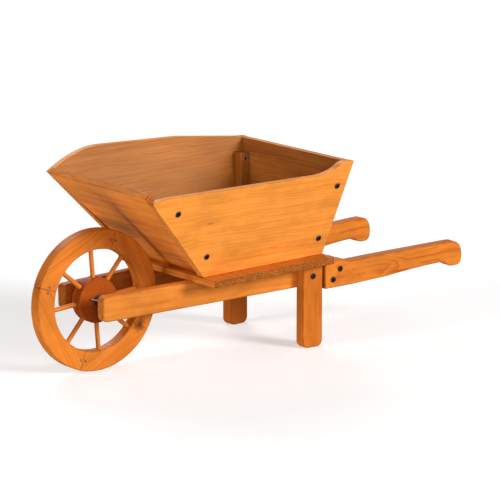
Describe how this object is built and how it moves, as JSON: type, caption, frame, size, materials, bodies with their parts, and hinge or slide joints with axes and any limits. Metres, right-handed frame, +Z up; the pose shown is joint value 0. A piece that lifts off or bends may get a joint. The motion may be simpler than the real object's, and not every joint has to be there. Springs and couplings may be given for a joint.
{
  "type": "garden cart",
  "caption": "Small wooden wheelbarrow cart with a spoked wheel that spins, a raked open tub, two legs and two handles, for planting or display.",
  "frame": {"origin": "on the floor, under the middle of the cart's length and width", "axes": "+X from the wheel to the handles, +Y towards the right hand of a person who holds the handles, +Z up"},
  "size_m": [0.8542, 0.3278, 0.3594],
  "materials": {
    "stained_wood": "satin orange-brown stain",
    "hub_wood": "darker, redder stain on end grain",
    "black_bolt": "satin black",
    "zinc_steel": "dull zinc"
  },
  "bodies": {
    "frame": {"rail_near": "stained_wood", "rail_far": "stained_wood", "deck": "stained_wood", "side_panel_near": "stained_wood", "side_panel_far": "stained_wood", "front_panel": "stained_wood", "rear_panel": "stained_wood", "post_front_near": "stained_wood", "post_front_far": "stained_wood", "post_rear_near": "stained_wood", "post_rear_far": "stained_wood", "handle_near": "stained_wood", "handle_far": "stained_wood", "leg_near": "stained_wood", "leg_far": "stained_wood", "axle": "zinc_steel", "axle_washers": "zinc_steel", "axle_pins": "zinc_steel", "tub_bolts": "black_bolt", "tub_inserts": "zinc_steel", "frame_bolts": "black_bolt", "frame_nuts": "zinc_steel", "deck_screws": "zinc_steel", "tub_screws": "zinc_steel"},
    "wheel": {"felloe_1": "stained_wood", "felloe_2": "stained_wood", "felloe_3": "stained_wood", "felloe_4": "stained_wood", "hub": "hub_wood", "spoke_1": "stained_wood", "spoke_2": "stained_wood", "spoke_3": "stained_wood", "spoke_4": "stained_wood", "spoke_5": "stained_wood", "spoke_6": "stained_wood", "spoke_7": "stained_wood", "spoke_8": "stained_wood", "rim_staples": "zinc_steel"}
  },
  "joints": [
    {"name": "wheel_spin", "type": "hinge", "parent": "frame", "child": "wheel", "pos_m": [-0.30206, -0.00368, 0.125], "axis": [0, 1, 0], "continuous": true}
  ]
}
